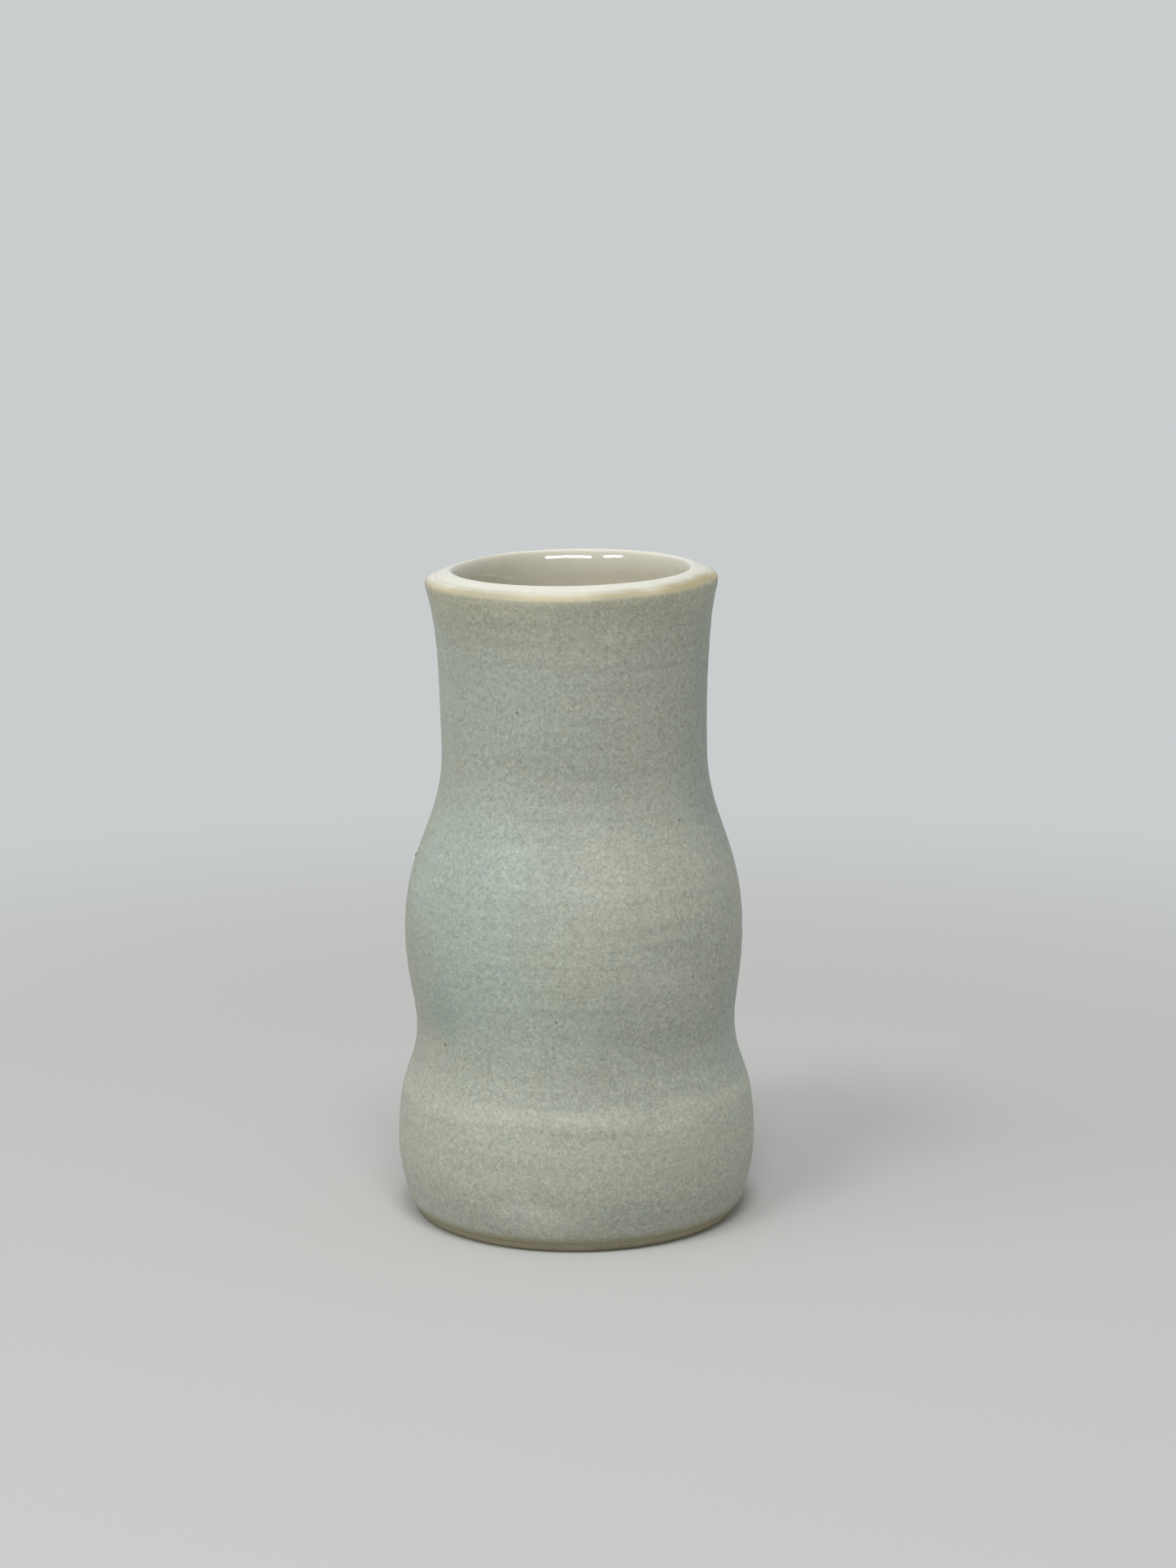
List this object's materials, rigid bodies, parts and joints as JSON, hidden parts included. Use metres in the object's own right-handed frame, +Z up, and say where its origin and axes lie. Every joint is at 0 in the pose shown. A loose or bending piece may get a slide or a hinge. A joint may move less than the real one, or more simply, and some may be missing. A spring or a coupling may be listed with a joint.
{
  "type": "bud vase",
  "caption": "Small hand-thrown stoneware bud vase with a long flared neck, a belly, a waist and a wide rounded base, matte glazed outside and gloss glazed inside.",
  "frame": {"origin": "centre of the foot, on the plane that the vase stands on", "axes": "+Z up along the vase's axis; the vase is round, so +X and +Y are any two directions square to it, with -Y towards the camera of the picture"},
  "size_m": [0.058, 0.058, 0.105],
  "materials": {
    "bare_clay": "bare fired stoneware, dry and slightly gritty",
    "matte_glaze": "matte, mottled grey-green glaze with cream patches and fine specks",
    "gloss_liner": "glossy cream-white glaze"
  },
  "bodies": {
    "root": {"clay_body": "bare_clay", "outer_glaze": "matte_glaze", "liner_glaze": "gloss_liner"}
  },
  "joints": []
}
